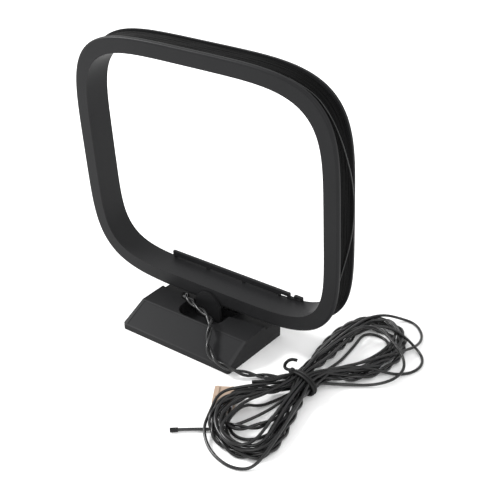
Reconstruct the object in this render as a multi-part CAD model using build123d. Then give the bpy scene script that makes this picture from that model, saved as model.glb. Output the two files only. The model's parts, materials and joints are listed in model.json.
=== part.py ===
"""Loop antenna for a radio: a wound loop on a folding stand, with a tied hank of leads and a plug.

Millimetres, +Z up, the stand's panel faces -Y. The origin is the middle of the underside.
The loop is drawn upright about its own centre and then set in place by in_loop().
"""
from build123d import *
import math
import os

# ---- Loop ----
loop_width = 120.0
loop_height = 103.8
loop_depth = 11.4
loop_powers = (4.32, 4.45)
opening_width = 108.1
opening_height = 91.3
opening_rise = 0.27
opening_powers = (4.6, 5.25)
flange_thickness = 1.6
rim_radius = 0.9
web_thickness = 1.6
winding_below_rim = 1.0
outline_steps = 56
loop_centre_y = 6.56
loop_centre_z = 63.48
loop_lean = 4.57

# ---- Slack turn of the winding: angle round the loop in degrees, depth from the loop's middle ----
slack_wire_diameter = 0.5
slack_bow = 1.1
slack_route = [
    (51, -3.4), (44, -2.2), (36.5, -2.6), (29, -1.8), (22, -0.1), (14.5, 2.3), (6, 3.8), (-2, 3.7),
    (-9, 1.9), (-15, -0.9), (-20.5, -3.5),
]

# ---- Strip behind the loop's lower edge, with a comb that anchors the coil's ends ----
strip_left = -26.6
strip_right = 37.4
strip_bottom = -44.55
strip_top = -42.4
strip_thickness = 1.2
strip_open_to = 26.4
strip_post_width = 0.8
strip_foot_z = -46.0
strip_posts_x = (-26.2, -9.0, 9.0)
comb_slots = (
    (27.0, 30.6, -46.0, -43.8), (31.6, 33.8, -43.9, -42.0), (34.5, 36.9, -43.75, -43.05),
)

# ---- Stand ----
stand_width = 53.1
stand_depth = 34.0
skirt_height = 2.3
panel_top_y = -5.4
panel_top_z = 8.25
deck_z = 8.75
stand_top_width = 52.0
corner_radius = 1.0
step_y_middle = 4.2
step_y_end = 6.9
rear_deck_z = 7.2
scoop_half_width = 10.4
scoop_front_y = -4.9
scoop_back_y = 9.4
scoop_floor_z = 3.4
scoop_corner_radius = 5.5
wall = 1.5
cavity_end_wall = 1.9
cavity_front_wall = 1.6
cavity_front_height = 1.6
roof_setback = 1.4
scoop_floor_thickness = 1.3
cover_thickness = 1.5
cover_gap = 0.1

# ---- Front panel ----
panel_side_margin = 1.15
panel_edge_margin = 0.45
panel_thickness = 0.8
panel_sink = 0.15

# ---- Hinge ----
hinge_y = 14.5
hinge_z = 9.9
pin_radius = 0.8
pin_half_length = 9.3
knuckle_radius = 1.9
knuckle_half_length = 6.0
knuckle_clearance = 0.05
bracket_depth = 10.6
bracket_drop = 1.1
bracket_grip_gap = 0.05
lug_radius = 1.8
lug_inner_x = 6.3

# ---- Stop tongue in front of the loop ----
tongue_radius = 6.1
tongue_centre_below = 53.2
tongue_thickness = 1.2
tongue_gap = 0.2
tongue_root_length = 10.1

# ---- Ballast and screws ----
ballast_size = (10.6, 16.0, 2.6)
ballast_x = 18.6
ballast_y = -1.2
screw_x = 19.0
screw_y = 12.0
screw_radius = 1.1
screw_head_radius = 2.1
screw_head_height = 1.0
screw_tip_z = 5.0
boss_radius = 2.3

# ---- Leads ----
lead_diameter = 2.2
aerial_diameter = 1.1
grommet_offset = 1.3
grommet_radius = 1.9
grommet_length = 2.3
lead_route = [
    (-15.3, 8.1, 5.6), (-13.28, 5.7, 9.23), (-9.5, 2.6, 11.2), (-4.0, 0.2, 10.6), (2.0, -1.5, 10.9),
    (7.6, -4.0, 11.2), (10.8, -7.8, 10.4), (12.4, -11.0, 8.8), (14.4, -14.0, 7.1), (17.6, -16.8, 5.6),
    (21.9, -18.4, 4.7), (26.9, -18.1, 4.0), (31.4, -15.6, 2.2), (36.3, -12.4, 1.25), (41.4, -9.4, 1.2),
    (46.0, -6.0, 1.3), (50.4, -2.2, 1.9),
]
aerial_tail = [(42.6, -45.6, 0.8), (36.8, -49.6, 0.8), (31.8, -53.9, 0.8)]
near_stray = [
    (37.2, -42.0, 2.4), (40.4, -48.6, 2.0), (46.0, -53.6, 0.9), (52.6, -56.5, 0.6), (59.4, -57.2, 0.6),
    (64.6, -54.0, 0.6), (65.6, -47.6, 1.6),
]
far_strays = {
    1: [(49.6, 46.0, 1.6), (52.4, 52.6, 0.8), (58.4, 56.3, 0.6), (65.4, 55.6, 0.6), (70.8, 50.6, 0.6),
        (72.6, 45.0, 0.7), (69.6, 39.4, 1.6)],
    2: [(67.4, 36.2, 1.6), (73.8, 37.0, 0.7), (79.4, 35.0, 0.6), (82.0, 29.4, 0.6), (80.4, 23.2, 0.6),
        (75.8, 18.6, 0.7), (70.0, 14.8, 1.6)],
    3: [(70.6, 29.2, 1.9), (75.6, 26.4, 2.0), (78.8, 21.8, 2.1), (78.4, 14.6, 1.9), (73.4, 8.4, 0.9),
        (66.4, 3.6, 0.7), (60.0, -2.4, 1.6)],
}

# ---- Hank, tied round its waist ----
waist_x = 54.0
waist_y = -7.5
waist_z = 3.7
waist_half_width = 5.6
waist_half_height = 3.1
waist_length = 5.0
lobe_height = 5.6
near_lobe = [
    (49.0, -9.6), (42.0, -15.5), (36.4, -24.0), (34.0, -35.0), (37.6, -45.0), (46.4, -51.4),
    (56.6, -52.6), (64.6, -48.8), (66.8, -40.4), (65.0, -30.0), (62.3, -18.5), (59.0, -9.6),
]
far_lobe = [
    (59.0, -5.4), (65.6, 3.0), (71.4, 13.5), (73.2, 26.0), (70.4, 38.5), (64.6, 46.6), (56.5, 49.8),
    (48.4, 46.8), (44.0, 36.5), (43.8, 22.0), (45.9, 7.0), (49.0, -5.4),
]

# ---- Tie ----
tie_width = 2.2
tie_thickness = 0.6
knot_size = (2.6, 2.8, 2.0)
knot_offset = (0.1, 1.9)
tie_tail_diameter = 1.1
tie_tail = [(47.4, -7.5, 5.8), (45.5, -7.4, 6.6), (44.2, -7.0, 8.2), (44.6, -6.4, 9.8), (46.2, -5.8, 10.5)]

# ---- Connector ----
plug_centre = (36.4, -31.9)
plug_turn = 31.5
plug_size = (7.8, 9.3, 4.6)
contact_pitch = 2.5
cavity_size = (1.7, 2.6)
contact_wall = 0.25
contact_inset = 0.6
key_size = (1.0, 6.0, 0.5)
key_offset = (2.6, 1.2)
tip_radius = 0.8
tip_length = 2.8


def superellipse(half_width, half_height, powers, rise=0.0):
    """A flat face in the XZ plane: a rounded rectangle with gently bulging sides."""
    points = []
    for step in range(outline_steps):
        angle = 2 * math.pi * (step + 0.5) / outline_steps
        radius = superellipse_radius(angle, half_width, half_height, powers)
        points.append((radius * math.cos(angle), 0, radius * math.sin(angle) + rise))
    return Face(Wire(Spline(*points, periodic=True)))


def superellipse_radius(angle, half_width, half_height, powers):
    """Distance from the centre to the outline, with one power above and one below."""
    power = powers[0] if math.sin(angle) > 0 else powers[1]
    across = abs(math.cos(angle) / half_width) ** power
    along = abs(math.sin(angle) / half_height) ** power
    return (across + along) ** (-1 / power)


def slab(face, front, back):
    """A face of the XZ plane made solid between two depths."""
    return extrude(Pos(0, front, 0) * face, amount=back - front, dir=(0, 1, 0))


def in_loop(shape):
    """Move a shape from the loop's own upright frame to its place on the stand."""
    return Pos(0, loop_centre_y, loop_centre_z) * Rot(loop_lean, 0, 0) * shape


def outer_face(inset):
    """The loop's outline, drawn in by an inset."""
    return superellipse(loop_width / 2 - inset, loop_height / 2 - inset, loop_powers)


def opening_face(outset):
    """The opening's outline, drawn out by an outset."""
    return superellipse(opening_width / 2 + outset, opening_height / 2 + outset, opening_powers, opening_rise)


def make_loop_frame():
    """A spool: two flanges with rounded outer rims, joined by a web round the opening."""
    front = -loop_depth / 2
    back = loop_depth / 2
    front_flange = slab(outer_face(0), front, front + flange_thickness)
    front_flange = fillet(front_flange.edges().group_by(Axis.Y)[0], rim_radius)
    back_flange = slab(outer_face(0), back - flange_thickness, back)
    back_flange = fillet(back_flange.edges().group_by(Axis.Y)[-1], rim_radius)
    web = slab(opening_face(web_thickness), front + flange_thickness, back - flange_thickness)
    return front_flange + web + back_flange - slab(opening_face(0), front - 1, back + 1)


def make_coil():
    """The winding, as the band of wire that fills the groove."""
    half = loop_depth / 2 - flange_thickness
    return slab(outer_face(winding_below_rim), -half, half) - slab(opening_face(web_thickness), -half, half)


def make_slack_turn():
    """One loose wire that bows out of the groove on the right and crosses it twice."""
    last = len(slack_route) - 1
    points = []
    for index, (degrees, depth) in enumerate(slack_route):
        angle = math.radians(degrees)
        radius = superellipse_radius(angle, loop_width / 2, loop_height / 2, loop_powers)
        radius += slack_wire_diameter * 0.6 - winding_below_rim + slack_bow * math.sin(math.pi * index / last)
        points.append((radius * math.cos(angle), depth, radius * math.sin(angle)))
    return tube(points, slack_wire_diameter)


def make_strip(loop_frame):
    """A thin strip along the back of the opening's lower edge, on posts, with a comb at one end."""
    back = loop_depth / 2
    front = back - strip_thickness
    rail = box_between((strip_left, front, strip_bottom), (strip_right, back, strip_top))
    comb_foot = box_between((strip_open_to, front, strip_foot_z), (strip_right, back, strip_bottom))
    strip = rail + comb_foot
    for post_x in strip_posts_x:
        strip += box_between((post_x, front, strip_foot_z), (post_x + strip_post_width, back, strip_top))
    for left, right, low, high in comb_slots:
        strip -= box_between((left, front - 1, low), (right, back + 1, high))
    return main_solid(strip - loop_frame)


def make_bracket():
    """The loop's half of the hinge: a tongue pressed between the flanges, a foot and a knuckle."""
    bottom = -loop_height / 2
    groove = loop_depth / 2 - flange_thickness
    half = knuckle_half_length
    grip_top = bottom + winding_below_rim - bracket_grip_gap
    grip = box_between((-half, -groove, bottom), (half, groove, grip_top))
    foot = box_between((-half, -bracket_depth / 2, bottom - bracket_drop), (half, bracket_depth / 2, bottom))
    pivot_y, pivot_z = hinge_in_loop()
    knuckle = Pos(0, pivot_y, pivot_z) * Rot(0, 90, 0) * Cylinder(knuckle_radius, 2 * half)
    bore = Pos(0, pivot_y, pivot_z) * Rot(0, 90, 0) * Cylinder(pin_radius + knuckle_clearance, 4 * half)
    return grip + foot + knuckle - bore


def hinge_in_loop():
    """The hinge axis in the loop's own frame, as depth and height."""
    lean = math.radians(loop_lean)
    depth = hinge_y - loop_centre_y
    height = hinge_z - loop_centre_z
    return depth * math.cos(lean) + height * math.sin(lean), height * math.cos(lean) - depth * math.sin(lean)


def make_tongue():
    """A round-topped tongue that stands in front of the loop and stops it."""
    back = -loop_depth / 2 - tongue_gap
    front = back - tongue_thickness
    middle = (front + back) / 2
    disc = Rot(90, 0, 0) * Cylinder(tongue_radius, tongue_thickness)
    top = Pos(0, middle, -tongue_centre_below) * disc
    root_z = -tongue_centre_below - tongue_root_length
    root = box_between((-tongue_radius, front, root_z), (tongue_radius, back, -tongue_centre_below))
    below_floor = box_between((-30, -30, -5), (30, 30, scoop_floor_z))
    return in_loop(top + root) - below_floor


def stand_side(front, low_front, deck_front, deck_low, rear_low, rear):
    """A prism across the stand from its side profile."""
    profile = Polyline(
        (0, front, 0), (0, front, low_front), (0, deck_front, deck_low), (0, step_y_end, rear_low),
        (0, rear, rear_low), (0, rear, 0), close=True,
    )
    return extrude(make_face(profile), amount=stand_width, dir=(1, 0, 0), both=True)


def stand_blank():
    """The stand's outer form: skirt, sloping front, deck, and ends with a little draft."""
    half_depth = stand_depth / 2
    side = stand_side(-half_depth, skirt_height, panel_top_y, panel_top_z, deck_z, half_depth)
    half = stand_width / 2
    top_half = stand_top_width / 2
    ends = Polyline(
        (-half, 0, 0), (-half, 0, skirt_height), (-top_half, 0, deck_z + 1), (top_half, 0, deck_z + 1),
        (half, 0, skirt_height), (half, 0, 0), close=True,
    )
    end_prism = extrude(make_face(ends), amount=stand_depth, dir=(0, 1, 0), both=True)
    plan = extrude(RectangleRounded(stand_width, stand_depth, corner_radius), amount=3 * deck_z)
    return side & end_prism & plan


def rear_step():
    """What is taken off the deck behind the loop's front face, down to the rear deck."""
    outer = stand_width
    plan = Polyline(
        (-outer, step_y_end + 5), (-stand_width / 2, step_y_end), (-scoop_half_width, step_y_middle),
        (scoop_half_width, step_y_middle), (stand_width / 2, step_y_end), (outer, step_y_end + 5),
        (outer, stand_depth), (-outer, stand_depth), close=True,
    )
    return Pos(0, 0, rear_deck_z) * extrude(make_face(plan), amount=deck_z)


def scoop():
    """The hollow in the middle of the deck, rounded at its front corners."""
    depth = scoop_back_y - scoop_front_y
    low = (-scoop_half_width, scoop_front_y, scoop_floor_z)
    hollow = box_between(low, (scoop_half_width, scoop_back_y, 2 * deck_z))
    front_edges = hollow.edges().filter_by(Axis.Z).group_by(Axis.Y)[0]
    return fillet(front_edges, min(scoop_corner_radius, depth / 2))


def stand_cavity():
    """The hollow inside the stand, which keeps clear of the scoop and the rear step."""
    half = stand_width / 2 - cavity_end_wall
    front = -stand_depth / 2 + cavity_front_wall
    rear = stand_depth / 2 - wall
    scoop_wall = scoop_half_width + wall
    roof = rear_deck_z - wall
    under_scoop = scoop_floor_z - scoop_floor_thickness
    low = cavity_front_height
    deep = Polyline(
        (0, front, 0), (0, front, low), (0, panel_top_y - roof_setback, roof), (0, rear, roof),
        (0, rear, 0), close=True,
    )
    shallow = Polyline(
        (0, front, 0), (0, front, low), (0, front + 1, under_scoop), (0, rear, under_scoop),
        (0, rear, 0), close=True,
    )
    sides = extrude(make_face(deep), amount=half, dir=(1, 0, 0), both=True)
    middle = box_between((-scoop_wall, -stand_depth, -wall), (scoop_wall, stand_depth, deck_z))
    return (sides - middle) + extrude(make_face(shallow), amount=half, dir=(1, 0, 0), both=True)


def make_shell():
    """The stand's moulding, with hinge lugs, screw bosses and the holes for grommet and pin."""
    shell = stand_blank() - rear_step() - scoop() - stand_cavity()
    for side in (-1, 1):
        shell += make_lug(side)
        place = Pos(side * screw_x, screw_y, 0)
        shell += place * cylinder_between(boss_radius, cover_thickness, rear_deck_z - wall)
        shell -= place * cylinder_between(screw_radius, 0, screw_tip_z)
    shell -= pin_shape()
    shell -= grommet_axis() * Cylinder(grommet_radius, 4 * grommet_length)
    shell -= panel_place() * Box(*panel_pocket_size())
    return main_solid(shell)


def make_lug(side):
    """One ear that holds the hinge pin."""
    middle = side * (lug_inner_x + pin_half_length) / 2
    width = pin_half_length - lug_inner_x
    eye = Pos(middle, hinge_y, hinge_z) * Rot(0, 90, 0) * Cylinder(lug_radius, width)
    post_low = (middle - width / 2, hinge_y - lug_radius, rear_deck_z - wall)
    post_high = (middle + width / 2, hinge_y + lug_radius, hinge_z)
    return eye + box_between(post_low, post_high)


def panel_slope():
    """Rise and run of the stand's sloping front."""
    rise = panel_top_z - skirt_height
    run = panel_top_y + stand_depth / 2
    return rise, run


def panel_place():
    """The plane of the stand's sloping front."""
    rise, run = panel_slope()
    middle_y = (panel_top_y - stand_depth / 2) / 2
    middle_z = (panel_top_z + skirt_height) / 2
    return Pos(0, middle_y, middle_z) * Rot(math.degrees(math.atan2(rise, run)), 0, 0)


def panel_pocket_size():
    """The pocket in the sloping front, twice as deep as it has to be because half is outside."""
    length = math.hypot(*panel_slope())
    width = stand_top_width - 2 * panel_side_margin
    return width, length - 2 * panel_edge_margin, 2 * (panel_sink + panel_thickness)


def make_panel():
    """The plate let into the sloping front."""
    width, length, depth = panel_pocket_size()
    return panel_place() * Pos(0, 0, -panel_sink - panel_thickness / 2) * Box(width, length, panel_thickness)


def pin_shape():
    """The hinge pin's cylinder."""
    return Pos(0, hinge_y, hinge_z) * Rot(0, 90, 0) * Cylinder(pin_radius, 2 * pin_half_length)


def make_cover():
    """The plate under the stand, with two countersunk holes."""
    half_width = stand_width / 2 - cavity_end_wall - cover_gap
    half_depth = stand_depth / 2 - cavity_front_wall - cover_gap
    plate = box_between((-half_width, -half_depth, 0), (half_width, half_depth, cover_thickness))
    return plate - make_screws()


def make_screws():
    """Two countersunk screws that hold the cover."""
    cone_height = screw_head_height
    screw = Pos(0, 0, cone_height / 2) * Cone(screw_head_radius, screw_radius, cone_height)
    screw += cylinder_between(screw_radius, cone_height, screw_tip_z)
    return Compound([Pos(side * screw_x, screw_y, 0) * screw for side in (-1, 1)])


def make_ballast():
    """Two steel plates that lie on the cover."""
    plate = Box(*ballast_size)
    height = cover_thickness + ballast_size[2] / 2
    return Compound([Pos(side * ballast_x, ballast_y, height) * plate for side in (-1, 1)])


def grommet_axis():
    """The plane across the lead where it comes out of the stand."""
    start = Vector(*lead_route[0])
    along = (Vector(*lead_route[1]) - start).normalized()
    return Plane(origin=start + along * grommet_offset, z_dir=along).location


def make_grommet():
    """A short bush round the lead."""
    bush = Cylinder(grommet_radius, grommet_length) - Cylinder(lead_diameter / 2, grommet_length)
    return grommet_axis() * bush


def tube(points, diameter):
    """A round cord along straight runs and arcs; each arc is as large as its runs allow."""
    vectors = [Vector(*point) for point in points]
    radii = []
    for before, corner, after in zip(vectors, vectors[1:], vectors[2:]):
        turn = math.radians((corner - before).get_angle(after - corner))
        shorter = min((corner - before).length, (after - corner).length)
        radii.append(0.45 * shorter / math.tan(turn / 2))
    path = FilletPolyline(*points, radius=radii)
    solid = sweep(Plane(origin=path @ 0, z_dir=path % 0) * Circle(diameter / 2), path=path)
    ideal = math.pi * diameter ** 2 / 4 * path.length
    ratio = solid.volume / ideal
    print(f"  length {path.length:.1f}, volume/ideal {ratio:.3f}, radii", [round(r, 1) for r in radii])
    return solid


def lobe(outline):
    """One end of the hank as a low closed body."""
    edge = Spline(*outline)
    face = make_face([edge, Line(outline[-1], outline[0])])
    return extrude(face, amount=lobe_height)


def waist_shape(growth, length):
    """An elliptical cylinder along Y at the hank's waist."""
    section = Ellipse(waist_half_width + growth, waist_half_height + growth)
    solid = extrude(Plane.XZ * section, amount=length / 2, both=True)
    return Pos(waist_x, waist_y, waist_z) * solid


def plug_place():
    """The connector's place on the floor."""
    return Pos(plug_centre[0], plug_centre[1], 0) * Rot(0, 0, plug_turn)


def plug_block():
    """The room that the connector takes, keys included."""
    height = plug_size[2] + key_size[2]
    return plug_place() * Pos(0, 0, height / 2) * Box(plug_size[0], plug_size[1], height)


def make_hank():
    """Both ends and the waist of the hank as one body, clear of the connector."""
    body = lobe(near_lobe) + lobe(far_lobe) + waist_shape(0, waist_length)
    return main_solid(body - plug_block())


def make_tie():
    """A strap round the hank's waist, with its knot."""
    strap = waist_shape(tie_thickness, tie_width) - waist_shape(0, 2 * tie_width)
    knot_x = waist_x - waist_half_width + knot_offset[0]
    knot = Pos(knot_x, waist_y, waist_z + knot_offset[1]) * Box(*knot_size)
    return main_solid(strap + (knot - waist_shape(0, 2 * waist_length)))


def make_housing():
    """The connector's block, with a cavity for each contact and two keys on top."""
    block = Pos(0, 0, plug_size[2] / 2) * Box(*plug_size)
    cavity = Box(cavity_size[0], 2 * plug_size[1], cavity_size[1])
    for index in (-1, 0, 1):
        block -= Pos(index * contact_pitch, 0, plug_size[2] / 2) * cavity
    for side in (-1, 1):
        key_z = plug_size[2] + key_size[2] / 2
        block += Pos(side * key_offset[0], key_offset[1], key_z) * Box(*key_size)
    return plug_place() * block


def make_contacts():
    """Three box contacts in the connector."""
    length = plug_size[1] - 2 * contact_inset
    width, height = cavity_size
    inside = Box(width - 2 * contact_wall, 2 * length, height - 2 * contact_wall)
    contact = Box(width, length, height) - inside
    row = [Pos(index * contact_pitch, 0, plug_size[2] / 2) * contact for index in (-1, 0, 1)]
    return Compound([plug_place() * item for item in row])


def make_aerial_tip():
    """The moulded cap on the free end of the wire aerial."""
    end = Vector(*aerial_tail[-1])
    along = (end - Vector(*aerial_tail[-2])).normalized()
    level = Vector(along.X, along.Y, 0).normalized()
    bore = Pos(0, 0, -tip_length / 2) * Cylinder(aerial_diameter / 2, tip_length)
    cap = Cylinder(tip_radius, tip_length) - bore
    place = Plane(origin=(end.X, end.Y, tip_radius), z_dir=(level.X, level.Y, 0)).location
    return place * cap


def cylinder_between(radius, low, high):
    """An upright cylinder between two heights."""
    return Pos(0, 0, (low + high) / 2) * Cylinder(radius, high - low)


def box_between(low, high):
    """A box from its lowest to its highest corner."""
    size = [b - a for a, b in zip(low, high)]
    middle = [(a + b) / 2 for a, b in zip(low, high)]
    return Pos(*middle) * Box(*size)


def main_solid(shape):
    """The largest solid of a result."""
    return shape.solids().sort_by(SortBy.VOLUME)[-1]


def make_parts():
    """Every node by name."""
    loop_frame = make_loop_frame()
    hank = make_hank()
    parts = {
        "loop_frame": in_loop(loop_frame),
        "coil_winding": in_loop(make_coil()),
        "coil_slack_turn": in_loop(make_slack_turn()),
        "coil_end_strip": in_loop(make_strip(loop_frame)),
        "hinge_bracket": in_loop(make_bracket()),
        "hinge_pin": pin_shape(),
        "stop_tongue": make_tongue(),
        "stand_shell": make_shell(),
        "front_panel": make_panel(),
        "base_cover": make_cover(),
        "base_screws": make_screws(),
        "ballast_plates": make_ballast(),
        "lead_grommet": make_grommet(),
        "lead_cord": main_solid(tube(lead_route, lead_diameter) - hank),
        "wire_hank": hank,
        "hank_tie": make_tie(),
        "tie_tail": main_solid(tube(tie_tail, tie_tail_diameter) - make_tie()),
        "aerial_wire_tail": main_solid(tube(aerial_tail, aerial_diameter) - hank),
        "aerial_wire_tip": make_aerial_tip(),
        "plug_housing": make_housing(),
        "plug_contacts": make_contacts(),
    }
    parts["aerial_wire_near_loop"] = main_solid(tube(near_stray, aerial_diameter) - hank)
    for number, route in far_strays.items():
        parts[f"aerial_wire_far_loop_{number}"] = main_solid(tube(route, aerial_diameter) - hank)
    return parts


os.makedirs("parts", exist_ok=True)
for name, shape in make_parts().items():
    export_step(shape, f"parts/{name}.step")
    box = shape.bounding_box()
    print(name, "solids", len(shape.solids()), "min", box.min, "max", box.max)
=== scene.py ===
"""Loop antenna on a folding stand: wires, materials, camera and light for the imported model. Metres."""
import bpy
import json
import math
from mathutils import Matrix, Vector


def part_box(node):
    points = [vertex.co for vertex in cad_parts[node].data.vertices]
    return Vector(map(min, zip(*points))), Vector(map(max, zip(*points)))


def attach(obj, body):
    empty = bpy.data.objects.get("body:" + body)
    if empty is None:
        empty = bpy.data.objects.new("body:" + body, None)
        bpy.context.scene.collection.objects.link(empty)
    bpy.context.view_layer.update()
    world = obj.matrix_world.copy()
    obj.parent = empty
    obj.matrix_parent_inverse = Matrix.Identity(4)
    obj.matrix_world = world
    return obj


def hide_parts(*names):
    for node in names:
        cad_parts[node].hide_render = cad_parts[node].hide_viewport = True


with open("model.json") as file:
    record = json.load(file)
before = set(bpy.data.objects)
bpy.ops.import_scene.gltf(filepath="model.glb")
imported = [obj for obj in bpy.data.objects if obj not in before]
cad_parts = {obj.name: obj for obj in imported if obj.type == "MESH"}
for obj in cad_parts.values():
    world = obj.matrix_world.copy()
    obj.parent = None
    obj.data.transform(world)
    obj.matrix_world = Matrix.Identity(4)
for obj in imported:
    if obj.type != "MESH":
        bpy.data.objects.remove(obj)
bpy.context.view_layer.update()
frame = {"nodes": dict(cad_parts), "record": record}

# ---- Camera ----
camera_place = (0.20625, -0.24419, 0.20883)
camera_azimuth = 36.76
camera_elevation = 28.35
camera_lens = 68.8

# ---- Loop, as in the CAD ----
loop_half_width = 0.0600
loop_half_height = 0.0519
loop_powers = (4.32, 4.45)
loop_centre = (0.0, 0.00656, 0.06348)
loop_lean = 4.57
groove_half_depth = 0.0041
winding_below_rim = 0.0010
coil_wire_radius = 0.00025
coil_wires = 16
coil_segments = 200
coil_sides = 6
coil_unevenness = 0.00005
coil_wander = 0.00004

# ---- Slack turn: angle round the loop in degrees, depth from the loop's middle ----
slack_bow = 0.0011
slack_lift = 1.2
slack_route = (
    (51, -0.0034), (44, -0.0022), (36.5, -0.0026), (29, -0.0018), (22, -0.0001), (14.5, 0.0023),
    (6, 0.0038), (-2, 0.0037), (-9, 0.0019), (-15, -0.0009), (-20.5, -0.0035),
)

# ---- Lead and aerial ----
strand_radius = 0.00055
twist_pitch = 0.0160
twist_loosening = 0.20
loosening_rate = 173
strand_sides = 10
aerial_diameter = 0.0011
lead_route = (
    (-0.0153, 0.0081, 0.0056), (-0.01328, 0.0057, 0.00923), (-0.0095, 0.0026, 0.0112),
    (-0.0040, 0.0002, 0.0106), (0.0020, -0.0015, 0.0109), (0.0076, -0.0040, 0.0112),
    (0.0108, -0.0078, 0.0104), (0.0124, -0.0110, 0.0088), (0.0144, -0.0140, 0.0071),
    (0.0176, -0.0168, 0.0056), (0.0219, -0.0184, 0.0047), (0.0269, -0.0181, 0.0040),
    (0.0314, -0.0156, 0.0022), (0.0363, -0.0124, 0.00125), (0.0414, -0.0094, 0.0012),
    (0.0460, -0.0060, 0.0013), (0.0504, -0.0022, 0.0019),
)
lead_join = ((0.0548, 0.0010, 0.0026),)
lead_to_plug = (
    (0.0538, -0.0135, 0.0042), (0.0560, -0.0200, 0.0040), (0.0576, -0.0280, 0.0036),
    (0.0568, -0.0360, 0.0034), (0.0528, -0.0412, 0.0033), (0.0473, -0.0431, 0.0031),
    (0.0426, -0.0413, 0.0026), (0.0397, -0.0393, 0.0023), (0.03776, -0.03651, 0.0023),
)
aerial_from_plug = (
    (0.04096, -0.03455, 0.0023), (0.0426, -0.0374, 0.0022), (0.0454, -0.0416, 0.0014),
    (0.0505, -0.0446, 0.0009), (0.0560, -0.0430, 0.0008), (0.0592, -0.0370, 0.0008),
    (0.0597, -0.0285, 0.0010), (0.0580, -0.0185, 0.0018),
)
aerial_out = (
    (0.0545, -0.0135, 0.0056), (0.0555, -0.0200, 0.0052), (0.0545, -0.0275, 0.0044),
    (0.0515, -0.0345, 0.0030), (0.0475, -0.0408, 0.0016),
)
aerial_tail = ((0.0426, -0.0456, 0.0008), (0.0368, -0.0496, 0.0008), (0.0318, -0.0539, 0.0008))

# ---- Turns of the aerial that stand out of the hank, run from the waist round to the waist ----
near_stray = (
    (0.0472, -0.0180, 0.0060), (0.0413, -0.0258, 0.0068), (0.0354, -0.0336, 0.0064),
    (0.0378, -0.0418, 0.0036), (0.0404, -0.0486, 0.0026), (0.0460, -0.0536, 0.0009),
    (0.0526, -0.0565, 0.0006), (0.0594, -0.0572, 0.0006), (0.0646, -0.0540, 0.0006),
    (0.0656, -0.0476, 0.0030), (0.0650, -0.0395, 0.0052), (0.0630, -0.0300, 0.0056),
    (0.0605, -0.0190, 0.0058),
)
far_stray_1 = (
    (0.0610, 0.0050, 0.0056), (0.0662, 0.0125, 0.0056), (0.0702, 0.0215, 0.0052),
    (0.0730, 0.0310, 0.0034), (0.0742, 0.0390, 0.0014), (0.0735, 0.0455, 0.0006),
    (0.0708, 0.0506, 0.0006), (0.0654, 0.0550, 0.0006), (0.0594, 0.0542, 0.0010),
    (0.0548, 0.0495, 0.0034), (0.0518, 0.0420, 0.0050), (0.0506, 0.0330, 0.0054),
    (0.0502, 0.0215, 0.0056), (0.0504, 0.0080, 0.0056),
)
far_stray_2 = (
    (0.0600, 0.0030, 0.0060), (0.0655, 0.0095, 0.0052), (0.0702, 0.0146, 0.0032),
    (0.0758, 0.0186, 0.0008), (0.0804, 0.0232, 0.0006), (0.0818, 0.0294, 0.0006),
    (0.0796, 0.0350, 0.0006), (0.0752, 0.0382, 0.0012), (0.0700, 0.0392, 0.0036),
    (0.0640, 0.0392, 0.0056), (0.0580, 0.0368, 0.0060), (0.0535, 0.0310, 0.0060),
    (0.0515, 0.0200, 0.0058), (0.0510, 0.0070, 0.0056),
)
far_stray_3 = (
    (0.0600, -0.0024, 0.0022), (0.0664, 0.0036, 0.0009), (0.0734, 0.0084, 0.0009),
    (0.0784, 0.0146, 0.0019), (0.0788, 0.0218, 0.0026), (0.0756, 0.0264, 0.0044),
    (0.0706, 0.0292, 0.0060), (0.0640, 0.0330, 0.0070), (0.0570, 0.0345, 0.0068),
    (0.0508, 0.0300, 0.0052), (0.0490, 0.0200, 0.0036), (0.0505, 0.0080, 0.0040),
)

# ---- Hank: the outer line of its two ends, drawn in where the strands are lifted over the plug ----
near_lobe = (
    (0.0464, -0.0155), (0.0412, -0.0235), (0.0384, -0.0330), (0.0388, -0.0425), (0.0450, -0.0500),
    (0.0550, -0.0527), (0.0612, -0.0510), (0.0652, -0.0460), (0.0652, -0.0380), (0.0628, -0.0290),
    (0.0596, -0.0180),
)
far_lobe = (
    (0.0638, 0.0030), (0.0706, 0.0130), (0.0732, 0.0260), (0.0708, 0.0380), (0.0650, 0.0455),
    (0.0580, 0.0486), (0.0512, 0.0472), (0.0466, 0.0415), (0.0448, 0.0335), (0.0452, 0.0220),
    (0.0474, 0.0070),
)
near_middle = (0.0532, -0.0340)
far_middle = (0.0606, 0.0220)
waist = (0.0540, -0.0075, 0.0037)
waist_reach = 0.0028
waist_half_width = 0.0056
waist_half_height = 0.0031
waviness = 0.025
wave_step = 1.7
waist_gather = 0.7
gather_step = 0.35
tip_widening = 0.60
plug_top = 0.0051
plug_reach = 0.0090
plug_slope = 0.0050
plug_stacking = 0.35
tail_crossing = (0.0405, -0.0470)
tail_reach = 0.0065
tail_height = 0.0012

# ---- Turns, as width, length and level of each end: the far end first, then the near one ----
lead_turns = (
    ((1.02, 1.00, 0.0013), (0.97, 0.98, 0.0013)), ((0.74, 0.91, 0.0013), (0.83, 0.90, 0.0013)),
    ((0.56, 0.75, 0.0013), (0.66, 0.80, 0.0013)), ((0.88, 0.86, 0.0033), (0.80, 0.80, 0.0033)),
)
inner_turn = ((0.36, 0.62, 0.0006), (0.44, 0.72, 0.0006))
upper_turns = (
    ((0.84, 0.92, 0.0034), (0.88, 0.93, 0.0034)), ((0.50, 0.84, 0.0040), (0.62, 0.86, 0.0038)),
)
last_near_end = (0.42, 0.93, 0.0046)

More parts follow.
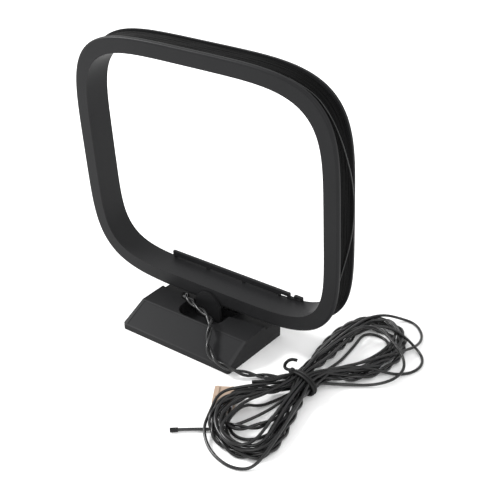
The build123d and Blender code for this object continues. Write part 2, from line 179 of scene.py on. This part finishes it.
# ---- Places in the waist, across and up from its middle ----
lead_down = ((-0.0011, -0.0010), (-0.0033, -0.0008), (-0.0012, 0.0011), (-0.0034, 0.0011))
lead_up = ((0.0011, -0.0010), (0.0033, -0.0008), (0.0012, 0.0011))
aerial_up = (
    (0.0007, -0.0025), (0.0048, -0.0006), (0.0048, 0.0006), (0.0036, 0.0021), (0.0020, 0.0024),
    (0.0007, 0.0025),
)
aerial_down = (
    (-0.0007, -0.0025), (-0.0020, -0.0024), (-0.0048, -0.0006), (-0.0048, 0.0006), (-0.0020, 0.0024),
    (-0.0007, 0.0025),
)

# ---- Tie ----
tie_radius = 0.00062
tie_end_radius = 0.00062
tie_turns = ((-0.00060, 0.0), (0.00055, 0.00035))
tie_tilt = 0.0028
tie_points = 16
knot_turns = 2
knot_points = 14
knot_radii = (0.0008, 0.0007)
knot_length = 0.0020
knot_inset = 0.0002
knot_rise = 0.0020
tie_flat_route = (
    (0.0503, -0.0095, 0.0068), (0.0490, -0.0145, 0.0071), (0.0462, -0.0190, 0.0069),
    (0.0411, -0.0219, 0.0061),
)
tie_tail_route = (
    (0.0474, -0.0075, 0.0058), (0.0456, -0.0076, 0.0054), (0.0447, -0.0070, 0.0066),
    (0.0460, -0.0066, 0.0088), (0.0477, -0.0060, 0.0098), (0.0492, -0.0053, 0.0094),
)

# ---- Edges that catch the light ----
rounded_pieces = ("stand_shell", "stop_tongue")
edge_rounding = 0.00022
rounding_segments = 2
sharp_angle = 40

# ---- Surfaces ----
mottle_scale = 90
gloss_spread = 0.05
grain_strength = 0.5

# ---- Studio: each light's name, place, width and power ----
studio_width = 6.0
floor_drop = 0.00005
floor_dark = (0.90, 0.90, 0.90)
floor_light = (0.92, 0.92, 0.92)
world_strength = 1.10
lights_face = (0.02, 0, 0.04)
lights = (("key", (-0.75, -0.20, 0.65), 0.24, 10.0), ("fill", (0.60, -0.50, 0.60), 0.70, 4.0))


def make_camera():
    """The camera, in front of the antenna, above it and to its right."""
    data = bpy.data.cameras.new("camera")
    data.lens = camera_lens
    data.clip_start = 0.01
    camera = bpy.data.objects.new("camera", data)
    camera.location = camera_place
    camera.rotation_euler = (math.radians(90 - camera_elevation), 0, math.radians(camera_azimuth))
    bpy.context.scene.collection.objects.link(camera)
    bpy.context.scene.camera = camera


def nurbs(name, points, radius, closed=False):
    """A smooth curve with these control points, round if it has a radius."""
    data = bpy.data.curves.new(name, "CURVE")
    data.dimensions = "3D"
    data.resolution_u = 10
    spline = data.splines.new("NURBS")
    spline.points.add(len(points) - 1)
    for control, point in zip(spline.points, points):
        control.co = (*point, 1)
    spline.order_u = 3
    spline.use_endpoint_u = not closed
    spline.use_cyclic_u = closed
    if radius:
        data.bevel_depth = radius
        data.bevel_resolution = 3
        data.use_fill_caps = True
    curve = bpy.data.objects.new(name, data)
    bpy.context.scene.collection.objects.link(curve)
    return curve


def round_wire(name, points, radius, closed=False):
    """A round wire along a smooth curve, as a mesh."""
    curve = nurbs("route", points, radius, closed)
    mesh = bpy.data.meshes.new_from_object(curve)
    bpy.data.objects.remove(curve)
    mesh.name = name
    mesh.shade_smooth()
    wire = bpy.data.objects.new(name, mesh)
    bpy.context.scene.collection.objects.link(wire)
    return wire


def line_of(points):
    """Points along the smooth curve that has these control points."""
    curve = nurbs("route", points, 0)
    mesh = bpy.data.meshes.new_from_object(curve)
    line = [vertex.co.copy() for vertex in mesh.vertices]
    bpy.data.objects.remove(curve)
    return line


def mesh_piece(name, vertices, faces):
    """A smooth-shaded mesh object."""
    mesh = bpy.data.meshes.new(name)
    mesh.from_pydata(vertices, [], faces)
    mesh.shade_smooth()
    piece = bpy.data.objects.new(name, mesh)
    bpy.context.scene.collection.objects.link(piece)
    return piece


def twisted_pair(name, line):
    """Two round strands wound round each other along a line."""
    vertices = []
    faces = []
    for strand in (0, 1):
        first = len(vertices)
        side = Vector((0, 0, 1))
        travelled = 0.0
        for index, point in enumerate(line):
            ahead = line[min(index + 1, len(line) - 1)]
            behind = line[max(index - 1, 0)]
            along = (ahead - behind).normalized()
            side = (side - along * side.dot(along)).normalized()
            across = along.cross(side)
            travelled += (point - behind).length
            turn = 2 * math.pi * travelled / twist_pitch + math.pi * strand
            loose = 1 + twist_loosening * math.sin(travelled * loosening_rate) ** 2
            out = strand_radius * loose
            middle = point + out * (math.cos(turn) * side + math.sin(turn) * across)
            for step in range(strand_sides):
                angle = 2 * math.pi * step / strand_sides
                ring = math.cos(angle) * side + math.sin(angle) * across
                vertices.append(middle + strand_radius * ring)
        for index in range(len(line) - 1):
            low = first + index * strand_sides
            for step in range(strand_sides):
                beside = (step + 1) % strand_sides
                high = low + strand_sides
                faces.append((low + step, low + beside, high + beside, high + step))
        faces.append(tuple(range(first + strand_sides - 1, first - 1, -1)))
        faces.append(tuple(range(len(vertices) - strand_sides, len(vertices))))
    return mesh_piece(name, vertices, faces)


def fade(distance, reach, slope):
    """1 within reach, falling smoothly to 0 over the slope."""
    beyond = min(max((distance - reach) / slope, 0.0), 1.0)
    return (1 + math.cos(math.pi * beyond)) / 2


def height_over(x, y, level):
    """Height of a strand of that level, lifted where it crosses the plug or the aerial's tail."""
    low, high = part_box("plug_housing")
    from_plug = math.hypot(x - (low[0] + high[0]) / 2, y - (low[1] + high[1]) / 2)
    on_plug = fade(from_plug, plug_reach, plug_slope)
    over_plug = plug_top + strand_radius + plug_stacking * level
    from_tail = math.hypot(x - tail_crossing[0], y - tail_crossing[1])
    over_tail = level + tail_height * fade(from_tail, tail_reach / 2, tail_reach)
    return max(over_tail, on_plug * over_plug + (1 - on_plug) * over_tail)


def lobe(outline, middle, size, enter, leave, phase):
    """One end of a turn: the outline at that width and length, between two places in the waist."""
    width, length, level = size
    points = []
    last = len(outline) - 1
    for index, (x, y) in enumerate(outline):
        wave = 1 + waviness * math.sin(wave_step * index + phase)
        tip = math.sin(math.pi * index / last) ** 4
        wide = width + tip_widening * (1 - width) * tip
        x = middle[0] + wide * wave * (x - middle[0])
        y = middle[1] + length * wave * (y - middle[1])
        slot = enter if index < last / 2 else leave
        gather = max(0.0, waist_gather - gather_step * min(index, last - index))
        z = height_over(x, y, level)
        points.append((x, y, z + gather * (waist[2] + slot[1] - z)))
    return points


def waist_pass(slot, direction):
    """Two points straight through the waist: direction 1 is towards +Y."""
    x = waist[0] + slot[0]
    z = waist[2] + slot[1]
    return [(x, waist[1] + direction * step * waist_reach, z) for step in (-1, 1)]


def lead_points():
    """The lead's whole route: out of the stand, round the hank and into the plug."""
    points = list(lead_route + lead_join)
    enter = lead_down[0]
    for index, (far_size, near_size) in enumerate(lead_turns):
        down = lead_down[index]
        points += lobe(far_lobe, far_middle, far_size, enter, down, index)
        points += waist_pass(down, -1)
        if index < len(lead_up):
            enter = lead_up[index]
            points += lobe(near_lobe, near_middle, near_size, down, enter, index + 2)
            points += waist_pass(enter, 1)
    return points + list(lead_to_plug)


def aerial_points():
    """The aerial's whole route: out of the plug, round the hank and along the floor."""
    up = aerial_up
    down = aerial_down
    outer, middle = upper_turns
    far = (
        lobe(far_lobe, far_middle, inner_turn[0], up[0], down[0], 1),
        far_stray_3,
        far_stray_2,
        far_stray_1,
        lobe(far_lobe, far_middle, outer[0], up[4], down[4], 4),
        lobe(far_lobe, far_middle, middle[0], up[5], down[5], 6),
    )
    near = (
        lobe(near_lobe, near_middle, inner_turn[1], down[0], up[1], 3),
        lobe(near_lobe, near_middle, outer[1], down[1], up[2], 5),
        near_stray,
        lobe(near_lobe, near_middle, middle[1], down[3], up[4], 2),
        lobe(near_lobe, near_middle, last_near_end, down[4], up[5], 0),
    )
    points = list(aerial_from_plug)
    for index, far_part in enumerate(far):
        points += waist_pass(up[index], 1)
        points += far_part
        points += waist_pass(down[index], -1)
        if index < len(near):
            points += near[index]
    return points + list(aerial_out + aerial_tail)


def add_lead():
    """The twisted lead, from the stand through the hank to the plug."""
    line = line_of(lead_points())
    lead = twisted_pair("twisted_lead", line)
    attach(lead, "stand")
    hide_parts("lead_cord", "wire_hank")
    return lead


def add_aerial():
    """The single wire, from the plug through the hank to its free end."""
    points = aerial_points()
    line = line_of(points)
    aerial = round_wire("wire_aerial", points, aerial_diameter / 2)
    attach(aerial, "stand")
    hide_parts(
        "aerial_wire_tail", "aerial_wire_near_loop", "aerial_wire_far_loop_1",
        "aerial_wire_far_loop_2", "aerial_wire_far_loop_3",
    )
    return aerial


def loop_radius(angle, inset):
    """Distance from the loop's middle to its outline drawn in by an inset."""
    power = loop_powers[0] if math.sin(angle) > 0 else loop_powers[1]
    across = abs(math.cos(angle) / (loop_half_width - inset)) ** power
    along = abs(math.sin(angle) / (loop_half_height - inset)) ** power
    return (across + along) ** (-1 / power)


def in_loop():
    """The move from the loop's own upright frame to its leaning place on the stand."""
    return Matrix.Translation(loop_centre) @ Matrix.Rotation(math.radians(loop_lean), 4, "X")


def add_coil_wires():
    """The outer layer of the winding, wire beside wire, each lying a little unevenly."""
    place = in_loop()
    vertices = []
    faces = []
    reach = groove_half_depth - coil_wire_radius
    for wire in range(coil_wires):
        first = len(vertices)
        depth = reach * (2 * wire / (coil_wires - 1) - 1)
        for segment in range(coil_segments):
            angle = 2 * math.pi * segment / coil_segments
            uneven = math.sin(5 * angle + 2.1 * wire) + math.sin(11 * angle + 4.7 * wire)
            radius = loop_radius(angle, winding_below_rim) + coil_unevenness * uneven
            middle_depth = depth + coil_wander * math.sin(7 * angle + 1.3 * wire)
            for step in range(coil_sides):
                around = 2 * math.pi * step / coil_sides
                out = radius + coil_wire_radius * math.cos(around)
                back = middle_depth + coil_wire_radius * math.sin(around)
                vertices.append(place @ Vector((out * math.cos(angle), back, out * math.sin(angle))))
        for segment in range(coil_segments):
            here = first + segment * coil_sides
            there = first + (segment + 1) % coil_segments * coil_sides
            for step in range(coil_sides):
                beside = (step + 1) % coil_sides
                faces.append((here + step, here + beside, there + beside, there + step))
    wires = mesh_piece("coil_wires", vertices, faces)
    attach(wires, "loop")
    return wires


def add_slack_wire():
    """The loose wire that bows out of the groove on the right."""
    place = in_loop()
    last = len(slack_route) - 1
    points = []
    for index, (degrees, depth) in enumerate(slack_route):
        angle = math.radians(degrees)
        bow = slack_bow * math.sin(math.pi * index / last)
        radius = loop_radius(angle, 0) - winding_below_rim + slack_lift * coil_wire_radius + bow
        points.append(place @ Vector((radius * math.cos(angle), depth, radius * math.sin(angle))))
    wire = round_wire("slack_coil_wire", points, coil_wire_radius)
    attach(wire, "loop")
    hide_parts("coil_slack_turn")
    return wire


def add_tie():
    """A soft strap wound twice round the waist, with a knot and a curled end."""
    pieces = []
    for number, (offset, slant) in enumerate(tie_turns, 1):
        points = []
        for step in range(tie_points):
            angle = 2 * math.pi * step / tie_points
            x = waist[0] + (waist_half_width + tie_radius) * math.cos(angle)
            y = waist[1] + offset + slant * math.sin(angle) - tie_tilt * (1 + math.cos(angle)) / 2
            z = waist[2] + (waist_half_height + 0.5 * tie_radius) * math.sin(angle)
            points.append((x, y, max(z, tie_radius)))
        pieces.append(round_wire(f"tie_strap_turn_{number}", points, tie_radius, closed=True))
    knot = []
    for step in range(knot_points):
        angle = 2 * math.pi * knot_turns * step / knot_points
        x = waist[0] - waist_half_width + knot_inset + knot_radii[0] * math.cos(angle)
        y = waist[1] - knot_length / 2 + knot_length * step / (knot_points - 1)
        knot.append((x, y, waist[2] + knot_rise + knot_radii[1] * math.sin(angle)))
    pieces.append(round_wire("tie_knot", knot, tie_radius))
    pieces.append(round_wire("tie_flat_end", tie_flat_route, tie_end_radius))
    for piece in pieces:
        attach(piece, "stand")
    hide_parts("hank_tie")
    tail = round_wire("tie_curled_end", tie_tail_route, tie_end_radius)
    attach(tail, "stand")
    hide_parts("tie_tail")
    return pieces + [tail]


def surface(name, dark, light, rough, grain_size, grain_depth, specular=0.5, metallic=0.0):
    """A procedural material: mottled colour, uneven gloss and a fine grain."""
    material = bpy.data.materials.new(name)
    material.use_nodes = True
    nodes = material.node_tree.nodes
    links = material.node_tree.links
    shader = nodes["Principled BSDF"]
    shader.inputs["Metallic"].default_value = metallic
    shader.inputs["Specular IOR Level"].default_value = specular
    place = nodes.new("ShaderNodeTexCoord")
    mottle = nodes.new("ShaderNodeTexNoise")
    mottle.inputs["Scale"].default_value = mottle_scale
    mottle.inputs["Detail"].default_value = 4
    colour = nodes.new("ShaderNodeValToRGB")
    colour.color_ramp.elements[0].color = (*dark, 1)
    colour.color_ramp.elements[1].color = (*light, 1)
    gloss = nodes.new("ShaderNodeMapRange")
    gloss.inputs["To Min"].default_value = rough - gloss_spread
    gloss.inputs["To Max"].default_value = rough + gloss_spread
    grain = nodes.new("ShaderNodeTexNoise")
    grain.inputs["Scale"].default_value = 1 / grain_size
    bump = nodes.new("ShaderNodeBump")
    bump.inputs["Strength"].default_value = grain_strength
    bump.inputs["Distance"].default_value = grain_depth
    links.new(place.outputs["Object"], mottle.inputs["Vector"])
    links.new(place.outputs["Object"], grain.inputs["Vector"])
    links.new(mottle.outputs["Fac"], colour.inputs["Fac"])
    links.new(colour.outputs["Color"], shader.inputs["Base Color"])
    links.new(mottle.outputs["Fac"], gloss.inputs["Value"])
    links.new(gloss.outputs["Result"], shader.inputs["Roughness"])
    links.new(grain.outputs["Fac"], bump.inputs["Height"])
    links.new(bump.outputs["Normal"], shader.inputs["Normal"])
    return material


def grey(value):
    """A barely cool grey."""
    return (value, value * 1.01, value * 1.06)


def paint(piece, material):
    """Gives a piece one material on all its slots."""
    if not piece.material_slots:
        piece.data.materials.append(material)
    for slot in piece.material_slots:
        slot.material = material


def make_materials():
    """Every finish by the record's slot name."""
    return {
        "loop_plastic": surface("loop_plastic", grey(0.0115), grey(0.0155), 0.42, 0.00035, 0.00002, 0.09),
        "stand_plastic": surface("stand_plastic", grey(0.0095), grey(0.0135), 0.43, 0.00035, 0.00002, 0.11),
        "panel_plastic": surface("panel_plastic", grey(0.0125), grey(0.0155), 0.46, 0.00030, 0.00002, 0.06),
        # coil_wire is the winding's wire painted darker than its own slack turn, which wears lead_sheath:
        # painted shade on the winding
        "coil_wire": surface("coil_wire", grey(0.0010), grey(0.0026), 0.55, 0.00050, 0.00002, 0.07),
        "steel": surface("steel", grey(0.48), grey(0.58), 0.30, 0.00040, 0.00001, metallic=1.0),
        "lead_sheath": surface("lead_sheath", grey(0.0030), grey(0.0060), 0.30, 0.00060, 0.00001, 0.40),
        "soft_black": surface("soft_black", grey(0.0025), grey(0.0050), 0.50, 0.00030, 0.00002, 0.22),
        "plug_nylon": surface("plug_nylon", (0.30, 0.22, 0.16), (0.39, 0.29, 0.22), 0.50, 0.00060, 0.00001),
        "tin": surface("tin", grey(0.62), grey(0.72), 0.28, 0.00040, 0.00001, metallic=1.0),
    }


def round_edges(names):
    """A fine rounding on the sharp edges of these CAD nodes, so that their rims catch the light."""
    for name in names:
        bevel = frame["nodes"][name].modifiers.new("rounded_edges", "BEVEL")
        bevel.width = edge_rounding
        bevel.segments = rounding_segments
        bevel.limit_method = "ANGLE"
        bevel.angle_limit = math.radians(sharp_angle)


def paint_all(materials, pieces):
    """The record's finish on every CAD node, and each new piece's own."""
    for part in frame["record"]["subparts"]:
        paint(frame["nodes"][part["node"]], materials[part["material_slot"]])
    for piece, slot in pieces:
        paint(piece, materials[slot])


def area_light(name, place, width, power):
    """A square soft light that faces the object."""
    data = bpy.data.lights.new(name, "AREA")
    data.size = width
    data.energy = power
    light = bpy.data.objects.new(name, data)
    light.location = place
    light.rotation_euler = (Vector(lights_face) - Vector(place)).to_track_quat("-Z", "Y").to_euler()
    bpy.context.scene.collection.objects.link(light)


def make_studio():
    """A plain white floor in even light, with a soft key from the left."""
    half = studio_width / 2
    corners = [(-half, -half, 0), (half, -half, 0), (half, half, 0), (-half, half, 0)]
    floor = mesh_piece("floor", corners, [(0, 1, 2, 3)])
    floor.location.z = -floor_drop
    paint(floor, surface("floor_white", floor_dark, floor_light, 0.85, 0.002, 0.00001))
    world = bpy.data.worlds.new("studio")
    world.use_nodes = True
    world.node_tree.nodes["Background"].inputs["Color"].default_value = (1, 1, 1, 1)
    world.node_tree.nodes["Background"].inputs["Strength"].default_value = world_strength
    bpy.context.scene.world = world
    for light in lights:
        area_light(*light)
    bpy.context.scene.view_settings.view_transform = "Standard"


make_camera()
wires = [(add_lead(), "lead_sheath"), (add_aerial(), "lead_sheath")]
# The slack turn is the winding's own wire, painted with the lighter, glossier lead_sheath finish: painted
# highlight where it bows out of the groove
wires += [(add_coil_wires(), "coil_wire"), (add_slack_wire(), "lead_sheath")]
wires += [(piece, "soft_black") for piece in add_tie()]
round_edges(rounded_pieces)
paint_all(make_materials(), wires)
make_studio()
